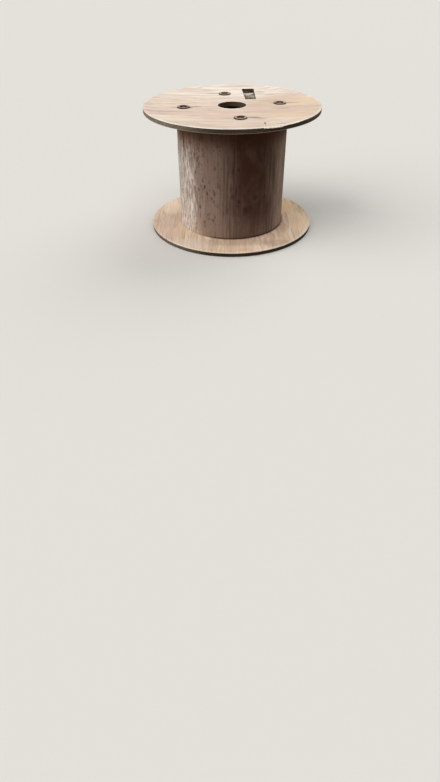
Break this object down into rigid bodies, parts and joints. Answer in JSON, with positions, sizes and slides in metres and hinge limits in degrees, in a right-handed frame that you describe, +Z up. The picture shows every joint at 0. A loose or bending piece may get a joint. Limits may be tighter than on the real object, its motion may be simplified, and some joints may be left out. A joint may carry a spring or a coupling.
{
  "type": "wooden cable drum",
  "caption": "Small plywood cable drum: round ply flanges clamped on a bent-ply barrel by steel tie rods, with a spindle bore and a cable slot.",
  "frame": {"origin": "centre of the underside, on the spindle axis", "axes": "+Z up along the spindle axis, +X along the face grain of the flanges, +Y along the cable slot towards its outer end"},
  "size_m": [0.4999, 0.5, 0.3419],
  "materials": {
    "flange_ply": "bare rotary-cut plywood, weathered",
    "barrel_ply": "bare bending plywood, greyed and mould-specked",
    "washer_steel": "pressed steel, rusted",
    "nut_steel": "steel, rusted",
    "rod_steel": "threaded steel, dull zinc"
  },
  "bodies": {
    "root": {"top_flange": "flange_ply", "bottom_flange": "flange_ply", "barrel": "barrel_ply", "tie_rod_1": "rod_steel", "tie_rod_2": "rod_steel", "tie_rod_3": "rod_steel", "tie_rod_4": "rod_steel", "top_washer_1": "washer_steel", "top_nut_1": "nut_steel", "top_washer_2": "washer_steel", "top_nut_2": "nut_steel", "top_washer_3": "washer_steel", "top_nut_3": "nut_steel", "top_washer_4": "washer_steel", "top_nut_4": "nut_steel", "bottom_washer_1": "washer_steel", "bottom_nut_1": "nut_steel", "bottom_washer_2": "washer_steel", "bottom_nut_2": "nut_steel", "bottom_washer_3": "washer_steel", "bottom_nut_3": "nut_steel", "bottom_washer_4": "washer_steel", "bottom_nut_4": "nut_steel"}
  },
  "joints": []
}
